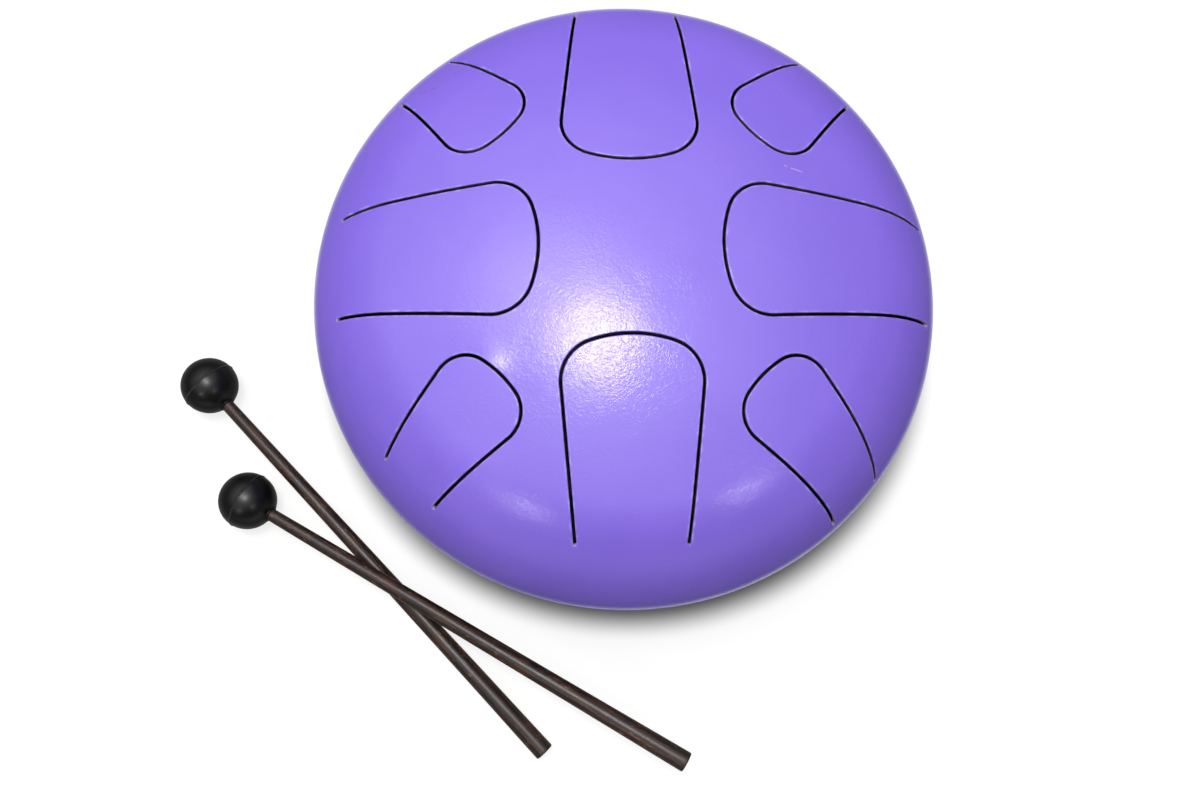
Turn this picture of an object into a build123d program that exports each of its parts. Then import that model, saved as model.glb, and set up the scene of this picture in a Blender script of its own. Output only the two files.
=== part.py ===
from build123d import *

import os
from math import atan2, cos, degrees, radians, sin, sqrt, tan

# Steel tongue drum with its pair of mallets, in millimetres.
# The drum stands on its feet at z = 0 with its axis on Z, and its long tongues lie along X and Y.

# Drum body: two pressed bowls of the same form, each a shallow crown that rolls over into a rounded rim.
drum_diameter = 254.0
bowl_rise = 66.0  # equator to pole, outside
crown_radius = 270.0  # outside, the shallow middle of each bowl
shell_wall = 1.6
ground_clearance = 6.0  # from the table to the lowest point of the bottom bowl

# Weld bead in a vee groove round the equator, dressed almost flush.
weld_width = 3.0
weld_root_face = 0.6  # wall left unchamfered at the inside of the joint
weld_crown = 0.15

# Tongues. A land is the plan distance from the equator in to the ends of a tongue's slot.
slot_width = 1.2
root_gap = 0.05  # parting line between a tongue's root and the bowl
long_tip_radius = 34.4  # from the drum's axis to the tip
long_width = 51.9
long_tip_bulge = 7.6
long_corner = 14.3
long_taper = 5.25  # degrees on each side, narrower towards the root
long_lands = (10.3, 16.5, 16.7, 21.1)
short_tip_radius = 67.5
short_width = 37.3
short_tip_bulge = 4.15
short_corner = 11.2
short_taper = 7.9
short_lands = (13.4, 12.8, 11.3, 3.8)

# Sound port in the middle of the bottom bowl, and the feet around it.
port_diameter = 64.0
port_land = 18.0  # plain steel between the port's edge and a foot
foot_count = 4
foot_start_angle = 45.0
foot_diameter = 20.0  # on the table
foot_seat_diameter = 24.0  # under the bowl
foot_edge_round = 1.5
foot_taper_height = 6.0
seat_clearance = 0.05

# Foot screw with its washer, recessed in the foot.
screw_diameter = 4.0
screw_head_diameter = 7.6
screw_head_height = 2.4
screw_point = 2.0
screw_reach = 4.0  # beyond the inside of the bowl
recess_width = 1.0
recess_length = 4.2
recess_depth = 1.2
washer_diameter = 9.0
washer_thickness = 0.8
counterbore_depth = 5.0
counterbore_clearance = 0.5
screw_clearance = 0.1

# Mallets: a rubber ball on a tapered stick. The reach runs from the ball's centre to the butt.
ball_diameter = 25.4
ball_seam_height = 0.35
ball_seam_width = 0.7
stick_tip_diameter = 5.7
stick_butt_diameter = 8.6
stick_reach = 224.0
stick_past_centre = 3.0
butt_chamfer = 0.5
bore_clearance = 0.05
bore_end_clearance = 0.5

# Where the mallets lie: each stick's line passes the drum's rim at a standoff, on the side that the angle gives.
lower_standoff = 23.5
lower_side_angle = -136.5
lower_head_offset = 113.7  # from the line's nearest point to the drum, back to the ball's centre
upper_standoff = 21.2
upper_side_angle = -120.3
upper_head_offset = 106.3
stick_gap = 0.6  # vertical, where the upper stick crosses the lower one

cut_overrun = 5.0

# Derived sizes of the bowls. The rim's radius makes the crown and the rim meet smoothly.
drum_radius = drum_diameter / 2
equator_height = ground_clearance + bowl_rise
rim_numerator = 2 * crown_radius * bowl_rise - bowl_rise**2 - drum_radius**2
rim_radius = rim_numerator / (2 * (crown_radius - drum_radius))
rim_centre = drum_radius - rim_radius
crown_centre = bowl_rise - crown_radius
meet_angle = degrees(atan2(-crown_centre, rim_centre))
meet_radius = crown_radius * cos(radians(meet_angle))
port_radius = port_diameter / 2
foot_circle_radius = port_radius + port_land + foot_seat_diameter / 2

upward = Plane(origin=(0, 0, equator_height), x_dir=(1, 0, 0), z_dir=(0, -1, 0))
downward = Plane(origin=(0, 0, equator_height), x_dir=(1, 0, 0), z_dir=(0, 1, 0))

os.makedirs("parts", exist_ok=True)


def write(piece, label):
    piece.label = label
    export_step(piece, f"parts/{label}.step")


def bowl_height(radius):
    # Height of a bowl's outside above its equator at a distance from the axis.
    if radius < meet_radius:
        return crown_centre + sqrt(crown_radius**2 - radius**2)
    return sqrt(rim_radius**2 - (radius - rim_centre) ** 2)


def bowl_line(inset):
    # Half section of a bowl from its pole to its equator, inset from the outside. Returns both ends.
    crown = CenterArc((0, crown_centre), crown_radius - inset, 90, meet_angle - 90)
    rim = CenterArc((rim_centre, 0), rim_radius - inset, meet_angle, -meet_angle)
    return crown @ 0, rim @ 1


def bowl(plane):
    # A bowl of even wall on the given side of the equator.
    with BuildPart() as blank:
        with BuildSketch(plane):
            with BuildLine():
                outer_pole, outer_edge = bowl_line(0)
                inner_pole, inner_edge = bowl_line(shell_wall)
                Line(outer_pole, inner_pole)
                Line(outer_edge, inner_edge)
            make_face()
        revolve(axis=Axis.Z)
    return blank.part


def bowl_filled(plane, inset):
    # The space inside a bowl surface, down to the equator.
    with BuildPart() as blank:
        with BuildSketch(plane):
            with BuildLine():
                pole, edge = bowl_line(inset)
                Polyline(pole, (0, 0), edge)
            make_face()
        revolve(axis=Axis.Z)
    return blank.part


def vee_groove():
    # Ring that chamfers both bowls' edges for the weld.
    weld_depth = shell_wall - weld_root_face
    mouth = (weld_width / 2) * (weld_depth + cut_overrun) / weld_depth
    with BuildPart() as groove:
        with BuildSketch(upward):
            with BuildLine():
                Polyline(
                    (drum_radius - weld_depth, 0),
                    (drum_radius + cut_overrun, mouth),
                    (drum_radius + cut_overrun, -mouth),
                    close=True,
                )
            make_face()
        revolve(axis=Axis.Z)
    return groove.part


def tongue_prism(angle, tip, width, bulge, corner, taper, root, grow):
    # Upright prism on a tongue's plan outline, grown on three sides and cut off square at its root.
    shoulder = tip + bulge
    far = root + cut_overrun
    far_half = width / 2 - (far - shoulder) * tan(radians(taper))
    facing = (cos(radians(angle)), sin(radians(angle)), 0)
    with BuildPart() as prism:
        with BuildSketch(Plane(origin=(0, 0, equator_height), x_dir=facing, z_dir=(0, 0, 1))) as outline:
            with BuildLine():
                ThreePointArc((shoulder, width / 2), (tip, 0), (shoulder, -width / 2))
                Polyline((shoulder, -width / 2), (far, -far_half), (far, far_half), (shoulder, width / 2))
            make_face()
            fillet(outline.vertices().sort_by(Axis.X)[:2], radius=corner)
            if grow > 0:
                offset(amount=grow)
            with Locations((root / 2, 0)):
                Rectangle(root, drum_diameter, mode=Mode.INTERSECT)
        extrude(amount=bowl_rise + cut_overrun)
    return prism.part


# The tongues in order round the drum, long and short by turns: label, angle, outline and root distance.
long_outline = (long_tip_radius, long_width, long_tip_bulge, long_corner, long_taper)
short_outline = (short_tip_radius, short_width, short_tip_bulge, short_corner, short_taper)
turn = 360 / len(long_lands)
tongues = []
for index, (long_land, short_land) in enumerate(zip(long_lands, short_lands)):
    tongues.append((f"long_tongue_{index + 1}", turn * index, long_outline, drum_radius - long_land))
    tongues.append((f"short_tongue_{index + 1}", turn * (index + 0.5), short_outline, drum_radius - short_land))

top_bowl = bowl(upward)
weld_groove = vee_groove()

# Top bowl with a window for each tongue.
with BuildPart() as top_shell:
    add(top_bowl)
    add(weld_groove, mode=Mode.SUBTRACT)
    for label, angle, outline, root in tongues:
        add(tongue_prism(angle, *outline, root + root_gap, slot_width), mode=Mode.SUBTRACT)
write(top_shell.part, "top_shell")

# Each tongue is the piece of the bowl that its own outline cuts out.
for label, angle, outline, root in tongues:
    with BuildPart() as tongue:
        add(top_bowl)
        add(tongue_prism(angle, *outline, root, 0), mode=Mode.INTERSECT)
    write(tongue.part, label)

# Bottom bowl with the sound port and the foot screws' holes.
screw_hole_radius = screw_diameter / 2 + screw_clearance
with BuildPart() as bottom_shell:
    add(bowl(downward))
    add(weld_groove, mode=Mode.SUBTRACT)
    with BuildSketch(Plane.XY):
        Circle(port_radius)
        with PolarLocations(foot_circle_radius, foot_count, start_angle=foot_start_angle):
            Circle(screw_hole_radius)
    extrude(amount=equator_height, mode=Mode.SUBTRACT)
write(bottom_shell.part, "bottom_shell")

# Weld bead that fills the groove.
with BuildPart() as equator_weld:
    with BuildSketch(upward):
        with BuildLine():
            upper_toe = (drum_radius, weld_width / 2)
            lower_toe = (drum_radius, -weld_width / 2)
            ThreePointArc(upper_toe, (drum_radius + weld_crown, 0), lower_toe)
            Polyline(lower_toe, (drum_radius - shell_wall + weld_root_face, 0), upper_toe)
        make_face()
    revolve(axis=Axis.Z)
write(equator_weld.part, "equator_weld")

# Heights in a foot, from the table: the washer seats on the counterbore's floor and the head under it.
seat_height = equator_height - bowl_height(foot_circle_radius)
foot_outer_radius = foot_circle_radius + foot_seat_diameter / 2
foot_blank_height = equator_height - bowl_height(foot_outer_radius) + cut_overrun
counterbore_radius = washer_diameter / 2 + counterbore_clearance
head_top = counterbore_depth - washer_thickness
head_bottom = head_top - screw_head_height
screw_end = seat_height + shell_wall + screw_reach
bottom_seat = bowl_filled(downward, -seat_clearance)


def foot_plane(angle):
    # Section plane through a foot's axis, with local Y upwards from the table.
    x = foot_circle_radius * cos(radians(angle))
    y = foot_circle_radius * sin(radians(angle))
    return Plane(origin=(x, y, 0), x_dir=(1, 0, 0), z_dir=(0, -1, 0))


def upright(plane):
    return Axis(plane.origin, (0, 0, 1))


foot_angles = [foot_start_angle + 360 / foot_count * index for index in range(foot_count)]

# Rubber feet, tapered towards the table, with a counterbore below and the bowl's form on top.
for index, angle in enumerate(foot_angles):
    plane = foot_plane(angle)
    with BuildPart() as foot:
        with BuildSketch(plane) as section:
            with BuildLine():
                Polyline(
                    (counterbore_radius, 0),
                    (foot_diameter / 2, 0),
                    (foot_seat_diameter / 2, foot_taper_height),
                    (foot_seat_diameter / 2, foot_blank_height),
                    (screw_hole_radius, foot_blank_height),
                    (screw_hole_radius, counterbore_depth),
                    (counterbore_radius, counterbore_depth),
                    close=True,
                )
            make_face()
            fillet(section.vertices().group_by(Axis.Y)[0].sort_by(Axis.X)[-1], radius=foot_edge_round)
        revolve(axis=upright(plane))
        add(bottom_seat, mode=Mode.SUBTRACT)
    write(foot.part, f"foot_{index + 1}")

# Washers, one solid in each foot.
with BuildPart() as foot_washers:
    for angle in foot_angles:
        plane = foot_plane(angle)
        with BuildSketch(Plane(origin=plane.origin + Vector(0, 0, head_top), z_dir=(0, 0, 1))):
            Circle(washer_diameter / 2)
            Circle(screw_hole_radius, mode=Mode.SUBTRACT)
        extrude(amount=washer_thickness)
write(foot_washers.part, "foot_washers")

# Pan-head screws with a cross recess, one solid in each foot.
with BuildPart() as foot_screws:
    for angle in foot_angles:
        plane = foot_plane(angle)
        with BuildSketch(plane) as section:
            with BuildLine():
                Polyline(
                    (0, head_bottom),
                    (screw_head_diameter / 2, head_bottom),
                    (screw_head_diameter / 2, head_top),
                    (screw_diameter / 2, head_top),
                    (screw_diameter / 2, screw_end - screw_point),
                    (0, screw_end),
                    close=True,
                )
            make_face()
            fillet(section.vertices().group_by(Axis.Y)[0].sort_by(Axis.X)[-1], radius=screw_head_height / 2)
        revolve(axis=upright(plane))
        with BuildSketch(Plane(origin=plane.origin + Vector(0, 0, head_bottom), z_dir=(0, 0, 1))):
            Rectangle(recess_length, recess_width)
            Rectangle(recess_width, recess_length)
        extrude(amount=recess_depth, mode=Mode.SUBTRACT)
write(foot_screws.part, "foot_screws")

# Mallets. The lower one rests on its ball and its butt, and the upper one on its ball and the lower stick.
ball_radius = ball_diameter / 2
tip_radius = stick_tip_diameter / 2
butt_radius = stick_butt_diameter / 2
rest_height = ball_radius + ball_seam_height


def stick_radius(reach):
    # Radius of a stick at a distance from the ball's centre.
    share = (reach - ball_radius) / (stick_reach - ball_radius)
    return tip_radius + (butt_radius - tip_radius) * share


def stick_line(standoff, side_angle, head_offset):
    # A stick's ball centre and heading in plan.
    side = Vector(cos(radians(side_angle)), sin(radians(side_angle)))
    heading = Vector(-side.Y, side.X)
    return side * (drum_radius + standoff) - heading * head_offset, heading


def mallet_plane(centre, heading, slope):
    # Section plane of a mallet: origin in the ball's centre, local X along the stick to the butt.
    along = Vector(heading.X, heading.Y, slope).normalized()
    across = Vector(heading.Y, -heading.X, 0)
    return Plane(origin=(centre.X, centre.Y, rest_height), x_dir=along, z_dir=across)


def make_mallet(plane, label):
    # A stick and its ball, each turned about the stick's axis.
    axis = Axis(plane.origin, plane.x_dir)
    bore_radius = tip_radius + bore_clearance
    bore_end = -stick_past_centre - bore_end_clearance
    with BuildPart() as stick:
        with BuildSketch(plane) as section:
            with BuildLine():
                Polyline(
                    (-stick_past_centre, 0),
                    (-stick_past_centre, tip_radius),
                    (ball_radius, tip_radius),
                    (stick_reach, butt_radius),
                    (stick_reach, 0),
                    close=True,
                )
            make_face()
            chamfer(section.vertices().group_by(Axis.X)[-1].sort_by(Axis.Y)[-1], length=butt_chamfer)
        revolve(axis=axis)
    write(stick.part, f"{label}_stick")
    with BuildPart() as head:
        with BuildSketch(plane):
            Circle(ball_radius)
            with Locations((0, ball_radius)):
                Rectangle(ball_seam_width, 2 * ball_seam_height)
            with Locations((0, -ball_diameter)):
                Rectangle(2 * ball_diameter, 2 * ball_diameter, mode=Mode.SUBTRACT)
            with Locations((bore_end, 0)):
                Rectangle(ball_diameter, bore_radius, align=(Align.MIN, Align.MIN), mode=Mode.SUBTRACT)
        revolve(axis=axis)
    write(head.part, f"{label}_head")


lower_centre, lower_heading = stick_line(lower_standoff, lower_side_angle, lower_head_offset)
upper_centre, upper_heading = stick_line(upper_standoff, upper_side_angle, upper_head_offset)

# Plan distances from each ball's centre to the point where the sticks cross.
between = upper_centre - lower_centre
crossing_sine = lower_heading.X * upper_heading.Y - lower_heading.Y * upper_heading.X
lower_crossing = (between.X * upper_heading.Y - between.Y * upper_heading.X) / crossing_sine
upper_crossing = (between.X * lower_heading.Y - between.Y * lower_heading.X) / crossing_sine

lower_slope = (butt_radius - rest_height) / stick_reach
lower_height = rest_height + lower_slope * lower_crossing
stacked = stick_radius(lower_crossing) + stick_radius(upper_crossing) + stick_gap
upper_slope = (lower_height + stacked - rest_height) / upper_crossing

make_mallet(mallet_plane(lower_centre, lower_heading, lower_slope), "lower_mallet")
make_mallet(mallet_plane(upper_centre, upper_heading, upper_slope), "upper_mallet")

print(f"rim radius {rim_radius:.2f}, equator {equator_height:.1f}, top {equator_height + bowl_rise:.1f}")
print(f"foot circle {foot_circle_radius:.1f}, seat {seat_height:.2f}")
print(f"sticks cross at {lower_crossing:.1f} and {upper_crossing:.1f} from their balls")
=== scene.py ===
import bpy
import math
import numpy as np
from mathutils import Matrix, Vector, kdtree
from mathutils.geometry import delaunay_2d_cdt


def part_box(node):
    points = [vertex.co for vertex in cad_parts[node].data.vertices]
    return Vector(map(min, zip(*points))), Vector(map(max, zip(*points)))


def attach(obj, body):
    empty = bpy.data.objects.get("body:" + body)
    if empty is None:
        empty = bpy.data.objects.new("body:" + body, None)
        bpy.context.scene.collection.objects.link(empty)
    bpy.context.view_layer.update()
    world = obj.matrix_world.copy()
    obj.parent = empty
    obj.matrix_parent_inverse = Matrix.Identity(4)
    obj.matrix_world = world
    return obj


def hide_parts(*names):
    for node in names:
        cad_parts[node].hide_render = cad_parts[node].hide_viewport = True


# Steel tongue drum with two mallets. Sizes in the settings are millimetres, the scene is in metres.
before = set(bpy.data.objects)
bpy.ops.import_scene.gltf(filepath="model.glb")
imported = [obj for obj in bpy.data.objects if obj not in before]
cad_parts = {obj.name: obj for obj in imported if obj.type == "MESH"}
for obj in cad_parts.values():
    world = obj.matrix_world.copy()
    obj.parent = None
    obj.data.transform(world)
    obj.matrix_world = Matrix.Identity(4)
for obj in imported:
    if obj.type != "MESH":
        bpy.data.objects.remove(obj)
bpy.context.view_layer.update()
toMetres = 0.001
tiny = 1e-9  # keeps a division from meeting zero
print("frame loaded,", len(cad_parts), "nodes")


# Node helpers

def nodeIn(tree, kind, inputs=(), **settings):
    node = tree.nodes.new(kind)
    for name, value in settings.items():
        setattr(node, name, value)
    pairs = inputs.items() if isinstance(inputs, dict) else enumerate(inputs)
    for key, value in pairs:
        if isinstance(value, bpy.types.NodeSocket):
            tree.links.new(value, node.inputs[key])
        else:
            node.inputs[key].default_value = value
    return node


def firstOut(tree, kind, inputs=(), **settings):
    return nodeIn(tree, kind, inputs, **settings).outputs[0]


def maths(tree, operation, *values):
    return firstOut(tree, "ShaderNodeMath", values, operation=operation)


def vectorMaths(tree, operation, *values):
    node = nodeIn(tree, "ShaderNodeVectorMath", values, operation=operation)
    gives = "Value" if operation in ("LENGTH", "DISTANCE", "DOT_PRODUCT") else "Vector"
    return node.outputs[gives]


def scaled(tree, vector, amount):
    return firstOut(tree, "ShaderNodeVectorMath", {0: vector, "Scale": amount}, operation="SCALE")


def vectorFrom(tree, *values):
    return firstOut(tree, "ShaderNodeCombineXYZ", values)


def axesOf(tree, vector):
    return nodeIn(tree, "ShaderNodeSeparateXYZ", (vector,)).outputs


def rampUp(tree, value, low, high, least=0.0, most=1.0):
    inputs = {"Value": value, "From Min": low, "From Max": high, "To Min": least, "To Max": most}
    return firstOut(tree, "ShaderNodeMapRange", inputs, interpolation_type="SMOOTHSTEP")


def noise(tree, vector, scale, detail=2.0, roughness=0.5, distortion=0.0):
    inputs = {"Vector": vector, "Scale": scale, "Detail": detail, "Roughness": roughness}
    return firstOut(tree, "ShaderNodeTexNoise", {**inputs, "Distortion": distortion})


def mixColour(tree, factor, first, second):
    return nodeIn(tree, "ShaderNodeMix", {0: factor, 6: first, 7: second}, data_type="RGBA").outputs[2]


def rgb(red, green, blue):
    return (red, green, blue, 1.0)


# Sockets that aren't plain numbers
socketKinds = {
    **dict.fromkeys(("Vector", "Start", "End"), "NodeSocketVector"),
    **dict.fromkeys(("Sheet", "Bowl", "Bead", "Ring", "Piece", "Pieces"), "NodeSocketGeometry"),
    **dict.fromkeys(("Finish", "Cut Finish"), "NodeSocketMaterial"),
    "Count": "NodeSocketInt",
    "Turned Over": "NodeSocketBool",
}


def newTree(name, kind, inputs, outputs):
    tree = bpy.data.node_groups.new(name, kind)
    for way, labels in (("INPUT", inputs), ("OUTPUT", outputs)):
        for label in labels:
            sort = socketKinds.get(label, "NodeSocketFloat")
            tree.interface.new_socket(label, in_out=way, socket_type=sort)
    return tree, tree.nodes.new("NodeGroupInput").outputs, tree.nodes.new("NodeGroupOutput").inputs


# Geometry tree helpers

def meshPlace(tree):
    return axesOf(tree, tree.nodes.new("GeometryNodeInputPosition").outputs[0])


def storedValue(tree, name, kind):
    return firstOut(tree, "GeometryNodeInputNamedAttribute", {"Name": name}, data_type=kind)


def spokeAt(tree, angle):
    # The direction at an angle round the drum's axis.
    return vectorFrom(tree, maths(tree, "COSINE", angle), maths(tree, "SINE", angle))


def movedTo(tree, geometry, place):
    inputs = {"Geometry": geometry, "Position": scaled(tree, place, toMetres)}
    return firstOut(tree, "GeometryNodeSetPosition", inputs)


def realized(tree, geometry, finish):
    real = firstOut(tree, "GeometryNodeRealizeInstances", (geometry,))
    return firstOut(tree, "GeometryNodeSetMaterial", {"Geometry": real, "Material": finish})


def evaluatedMesh(obj):
    graph = bpy.context.evaluated_depsgraph_get()
    shown = obj.evaluated_get(graph)
    return bpy.data.meshes.new_from_object(shown, preserve_all_data_layers=True, depsgraph=graph)


def plainMesh(obj, tree, values):
    # Runs a geometry tree on an object and keeps the result as its own mesh.
    modifier = obj.modifiers.new(tree.name, "NODES")
    modifier.node_group = tree
    for item in tree.interface.items_tree:
        if item.in_out == "INPUT" and item.name in values:
            modifier[item.identifier] = values[item.name]
    mesh = evaluatedMesh(obj)
    obj.modifiers.remove(modifier)
    spent = obj.data
    obj.data = mesh
    mesh.name = obj.name
    bpy.data.meshes.remove(spent)
    return mesh


# Mesh and object helpers

def newMesh(name, vertices, faces):
    mesh = bpy.data.meshes.new(name)
    mesh.from_pydata(vertices, [], faces)
    return mesh


def setAttribute(mesh, name, kind, values, domain="POINT"):
    field = "vector" if kind == "FLOAT_VECTOR" else "value"
    mesh.attributes.new(name, kind, domain).data.foreach_set(field, values)


def meshPoints(mesh):
    points = np.zeros(len(mesh.vertices) * 3)
    mesh.vertices.foreach_get("co", points)
    return points.reshape(-1, 3)


def movePoints(mesh, change):
    mesh.vertices.foreach_set("co", change(meshPoints(mesh)).ravel())
    mesh.update()


def newObject(name, data):
    obj = bpy.data.objects.new(name, data)
    bpy.context.scene.collection.objects.link(obj)
    return obj


def finishPiece(obj, body, slotName, *nodes):
    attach(obj, body)
    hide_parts(*nodes)


# Shader groups shared by the finishes

def wavered(tree, vector, scale, detail, amount):
    # Moves a place by a noise, so that what is drawn there wavers.
    inputs = {"Vector": vector, "Scale": scale, "Detail": detail}
    shift = nodeIn(tree, "ShaderNodeTexNoise", inputs).outputs["Color"]
    centred = vectorMaths(tree, "SUBTRACT", shift, (0.5, 0.5, 0.5))
    return vectorMaths(tree, "ADD", vector, scaled(tree, centred, amount))


def orangePeelGroup():
    tree, given, gives = newTree("orangePeel", "ShaderNodeTree", ("Vector", "Grain"), ("Height",))
    coarse = noise(tree, given["Vector"], given["Grain"], detail=1.5, roughness=0.45, distortion=0.3)
    finer = maths(tree, "MULTIPLY", given["Grain"], 2.7)
    fine = noise(tree, given["Vector"], finer, detail=1.0)
    tree.links.new(maths(tree, "MULTIPLY_ADD", fine, 0.35, coarse), gives["Height"])
    return tree


def fineStrokeGroup():
    # Short fine strokes in one direction, slightly bent.
    tree, given, gives = newTree(
        "fineStrokes", "ShaderNodeTree", ("Vector", "Turn", "Along", "Across"), ("Height",)
    )
    moved = wavered(tree, given["Vector"], scale=110.0, detail=1.0, amount=0.004)
    inputs = {"Vector": moved, "Angle": given["Turn"]}
    turned = firstOut(tree, "ShaderNodeVectorRotate", inputs, rotation_type="Z_AXIS")
    size = vectorFrom(tree, given["Along"], given["Across"], given["Across"])
    lines = noise(tree, vectorMaths(tree, "MULTIPLY", turned, size), scale=1.0, detail=1.0)
    tree.links.new(rampUp(tree, lines, low=0.50, high=0.72), gives["Height"])
    return tree


def hairlineGroup():
    # A thin wavering line between two points.
    tree, given, gives = newTree(
        "hairline", "ShaderNodeTree", ("Vector", "Start", "End", "Width", "Waver"), ("Mask",)
    )
    moved = wavered(tree, given["Vector"], scale=420.0, detail=2.0, amount=given["Waver"])
    span = vectorMaths(tree, "SUBTRACT", given["End"], given["Start"])
    toPoint = vectorMaths(tree, "SUBTRACT", moved, given["Start"])
    along = maths(tree, "DIVIDE", vectorMaths(tree, "DOT_PRODUCT", toPoint, span),
                  vectorMaths(tree, "DOT_PRODUCT", span, span))
    held = firstOut(tree, "ShaderNodeClamp", (along, 0.0, 1.0))
    nearest = vectorMaths(tree, "ADD", given["Start"], scaled(tree, span, held))
    away = vectorMaths(tree, "DISTANCE", moved, nearest)
    core = maths(tree, "MULTIPLY", given["Width"], 0.35)
    tree.links.new(rampUp(tree, away, core, given["Width"], least=1.0, most=0.0), gives["Mask"])
    return tree


def speckleGroup():
    # Small scattered specks, such as dust or nibs in a finish.
    tree, given, gives = newTree("speckle", "ShaderNodeTree", ("Vector", "Grain", "Cover"), ("Mask",))
    inputs = {"Vector": given["Vector"], "Scale": given["Grain"]}
    cells = nodeIn(tree, "ShaderNodeTexVoronoi", inputs).outputs
    pick = firstOut(tree, "ShaderNodeSeparateColor", (cells["Color"],))
    chosen = maths(tree, "LESS_THAN", pick, given["Cover"])
    dot = rampUp(tree, cells["Distance"], low=0.1, high=0.22, least=1.0, most=0.0)
    tree.links.new(maths(tree, "MULTIPLY", dot, chosen), gives["Mask"])
    return tree


def edgeWearAndSheenGroup():
    # Broken pale marks along an edge that the mesh marks with an attribute, partly wear and partly a painted
    # highlight where the rounded edge catches light.
    tree, given, gives = newTree(
        "edgeWearAndSheen", "ShaderNodeTree", ("Vector", "Edge", "Grain", "Amount"), ("Mask",)
    )
    broken = noise(tree, given["Vector"], given["Grain"], detail=4.0, roughness=0.65)
    bare = rampUp(tree, broken, maths(tree, "SUBTRACT", 1.0, given["Amount"]), 1.0)
    close = rampUp(tree, given["Edge"], low=0.75, high=1.0)
    tree.links.new(maths(tree, "MULTIPLY", bare, close), gives["Mask"])
    return tree


orangePeel = orangePeelGroup()
fineStrokes = fineStrokeGroup()
hairline = hairlineGroup()
speckle = speckleGroup()
edgeWearAndSheen = edgeWearAndSheenGroup()


# Material helpers

def newMaterial(name, constants):
    material = bpy.data.materials.new(name)
    material.use_nodes = True
    tree = material.node_tree
    shader = tree.nodes["Principled BSDF"]
    for key, value in constants.items():
        shader.inputs[key].default_value = value
    coordinates = tree.nodes.new("ShaderNodeTexCoord").outputs["Object"]
    return material, tree, shader, coordinates


def feed(tree, shader, sockets):
    for name, value in sockets.items():
        tree.links.new(value, shader.inputs[name])


def placed(tree, group, inputs):
    return firstOut(tree, "ShaderNodeGroup", inputs, node_tree=group)


def bumped(tree, height, distance, below=None):
    inputs = {"Height": height, "Distance": distance, "Strength": 1.0}
    if below is not None:
        inputs["Normal"] = below
    return firstOut(tree, "ShaderNodeBump", inputs)


def patches(tree, place, grain, limits, values=(0.0, 1.0)):
    # A noise by scale, detail and roughness, drawn out between two limits to a pair of values.
    return rampUp(tree, noise(tree, place, *grain), *limits, *values)


def peeled(tree, place, grain, height):
    # The normal of a slightly uneven skin.
    return bumped(tree, placed(tree, orangePeel, {"Vector": place, "Grain": grain}), height)


def dulled(tree, gloss, low, high, amount, grain=None):
    # Changes a gloss value towards a glancing angle. A grain keeps the change from having a rim.
    facing = nodeIn(tree, "ShaderNodeLayerWeight", {"Blend": 0.5}).outputs["Facing"]
    if grain is not None:
        facing = maths(tree, "ADD", facing, grain)
    return maths(tree, "ADD", gloss, rampUp(tree, facing, low, high, 0.0, amount))


def attributeValue(tree, name, output="Fac"):
    return nodeIn(tree, "ShaderNodeAttribute", attribute_name=name).outputs[output]


def metres(point):
    return tuple(value * toMetres for value in point)


# Violet paint on the bowls and tongues

paintFinish = {
    "shader": {"IOR": 1.5, "Specular IOR Level": 0.46, "Coat Roughness": 0.5, "Coat IOR": 1.5},
    "colour": rgb(0.202, 0.120, 0.662),
    "deeper": rgb(0.190, 0.113, 0.642),
    "clouds": ((26.0, 3.0), (0.35, 0.65)),
    # Pale violet on the rounded slot edges: partly wear, partly a painted highlight where the edge catches
    # light.
    "paleWearAndSheen": rgb(0.520, 0.430, 0.900),
    "wearAndSheenSpread": {"Grain": 260.0, "Amount": 0.62},
    "rough": ((60.0, 3.0), (0.3, 0.7), (0.155, 0.195)),
    # Where the gloss changes between facing the eye and glancing, and by how much.
    "glancing": ((0.05, 0.42, 0.60), (0.76, 0.90, -0.45)),
    "glossGrain": 0.045,
    "haze": 1.0,
    "hazeFade": (0.10, 0.45),
    "peelGrain": 700.0,
    "peelHeight": 0.000050,
    "strokeTurns": (0.20, 0.95, 1.75, 2.50),
    "strokes": {"Along": 280.0, "Across": 1700.0},
    "strokeHeight": 0.0000150,
    "rubbed": ((45.0, 2.0), (0.3, 0.6), (0.35, 1.0)),
    "specks": {"Grain": 420.0, "Cover": 0.08},
    "markHeight": 0.0000110,
    # Cracks and scratches between points on the bowl. A line has its width and how far it wavers.
    "crackBrown": rgb(0.150, 0.070, 0.060),
    "crackLine": (0.22, 1.6),
    "crackBreaks": ((300.0, 3.0), (0.38, 0.52)),
    "crackDepth": 3.0,
    "cracks": (
        ((-82.4, 73.2, 110.7), (-74.4, 73.9, 115.1)),
        ((-74.4, 73.9, 115.1), (-71.0, 78.0, 114.8)),
        ((-71.0, 78.0, 114.8), (-65.5, 81.1, 115.5)),
        ((-65.5, 81.1, 115.5), (-57.9, 83.2, 117.4)),
        ((-92.0, 62.2, 109.8), (-88.6, 63.4, 111.8)),
    ),
    "pale": rgb(0.44, 0.33, 0.68),
    "paleLine": (0.26, 0.4),
    "paleScratches": (
        ((58.4, 34.3, 129.4), (59.4, 33.9, 129.2)),
        ((61.0, 33.3, 128.9), (65.2, 32.2, 128.0)),
    ),
    "nickLine": (0.5, 0.6),
    "nickDepth": 2.5,
    "nick": ((43.7, -84.3, 120.7), (39.9, -92.9, 117.6)),
}


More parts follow.
